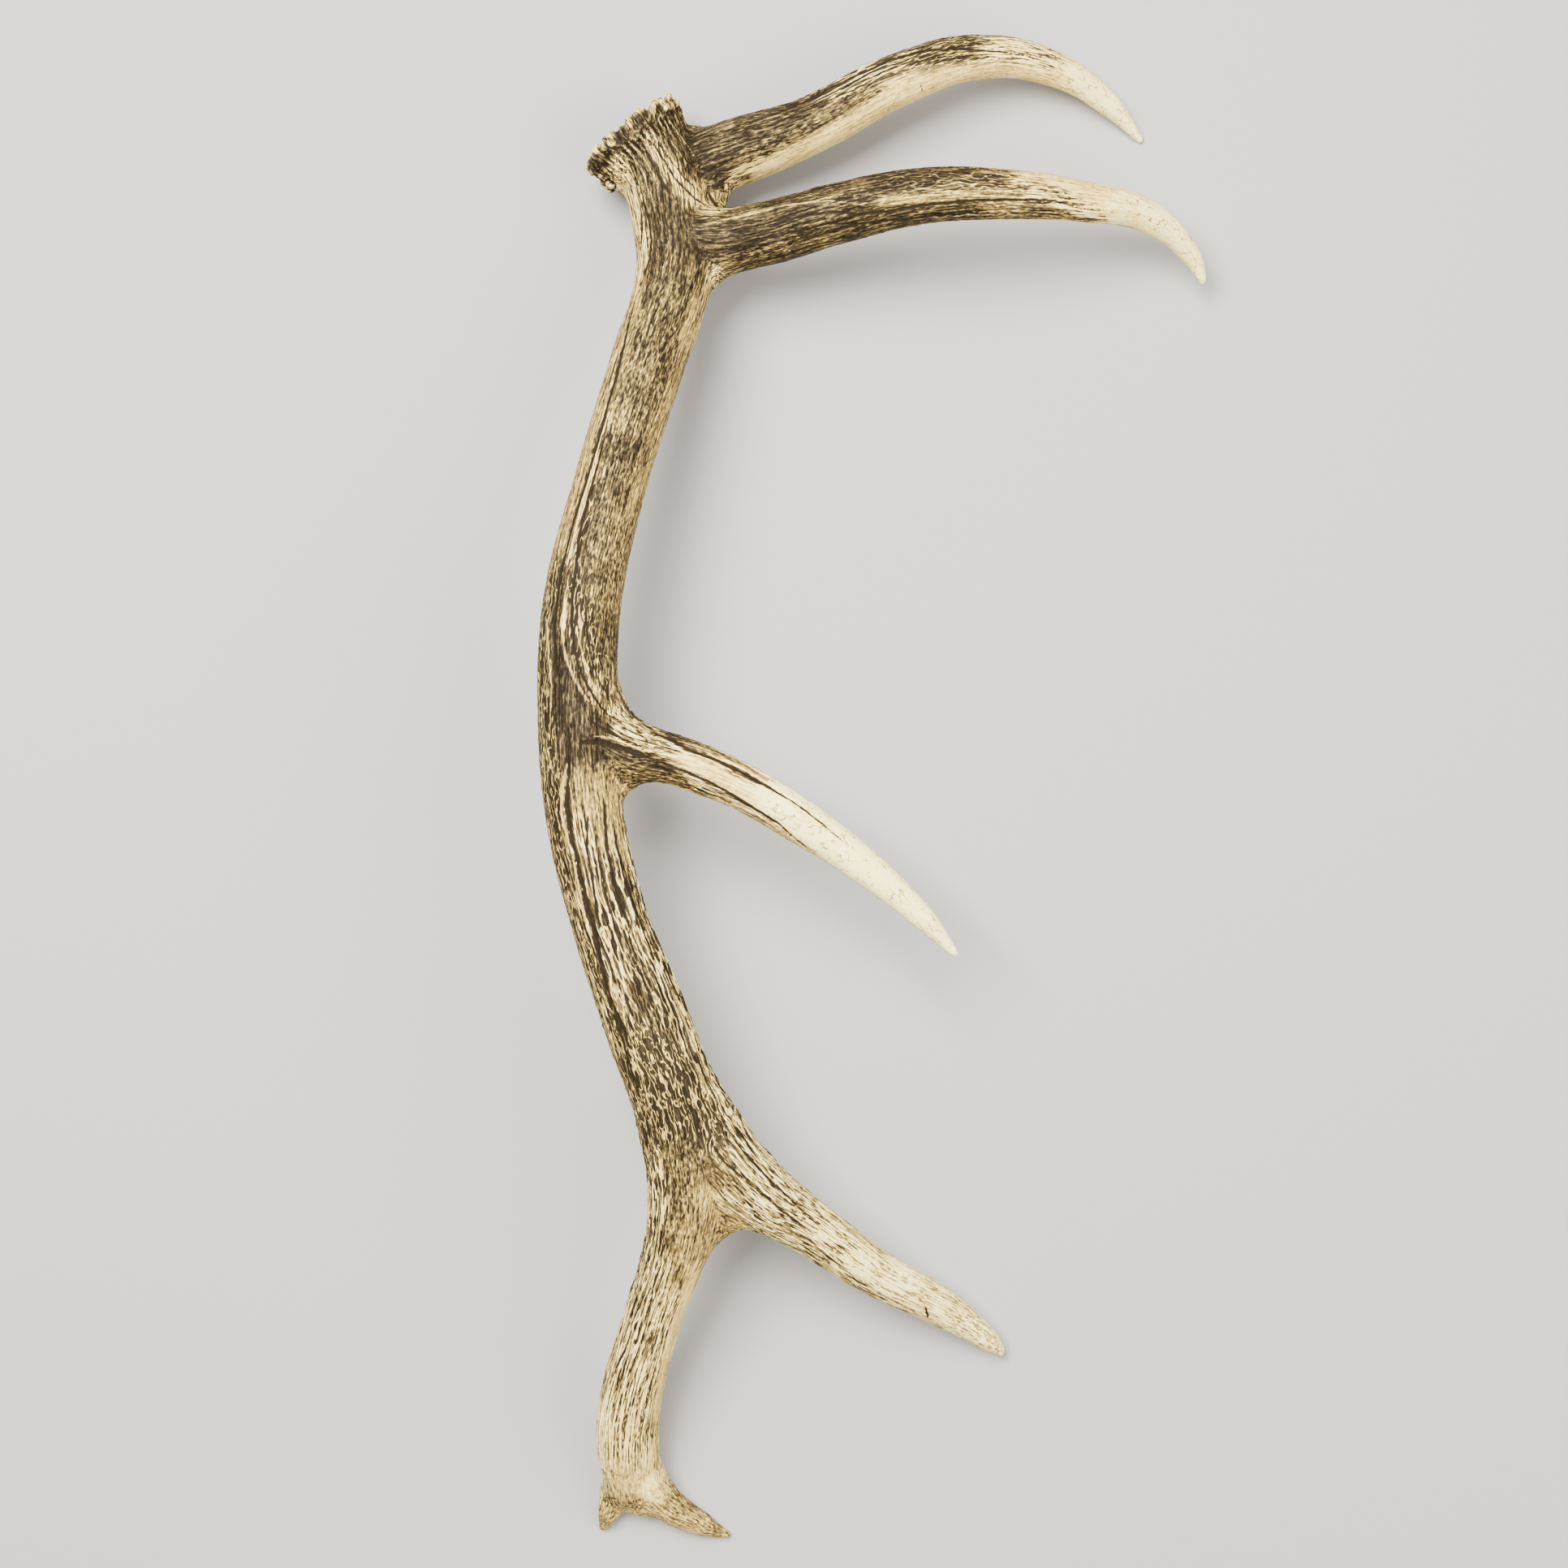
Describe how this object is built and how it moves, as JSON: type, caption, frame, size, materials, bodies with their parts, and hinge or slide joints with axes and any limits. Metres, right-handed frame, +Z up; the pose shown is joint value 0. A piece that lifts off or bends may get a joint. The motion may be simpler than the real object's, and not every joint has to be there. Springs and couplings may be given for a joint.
{
  "type": "deer antler",
  "caption": "Shed left antler of a large red deer, with a knobbly burr, a curved beam, long tines and a small forked crown, lying on its side.",
  "frame": {"origin": "middle of the bounding box in X and Y, on the surface that the antler lies on", "axes": "+Z up from the surface, +Y along the beam from the crown to the burr, +X towards the tips of the tines"},
  "size_m": [0.4122, 0.9412, 0.1356],
  "materials": {
    "brown_antler": "grooved and beaded antler, dark brown in the hollows and cream on the ridges, matt with a slight polish on the ridges",
    "cream_antler": "cream antler with fine brown dashes along it, satin",
    "white_antler": "cream-white antler worn smooth, with fine hairline scratches, polished at the tips"
  },
  "bodies": {
    "root": {"beam_base": "brown_antler", "brow_tine": "cream_antler", "bez_tine": "cream_antler", "lower_beam": "brown_antler", "trez_tine": "white_antler", "middle_beam": "brown_antler", "royal_tine": "white_antler", "crown": "cream_antler"}
  },
  "joints": []
}
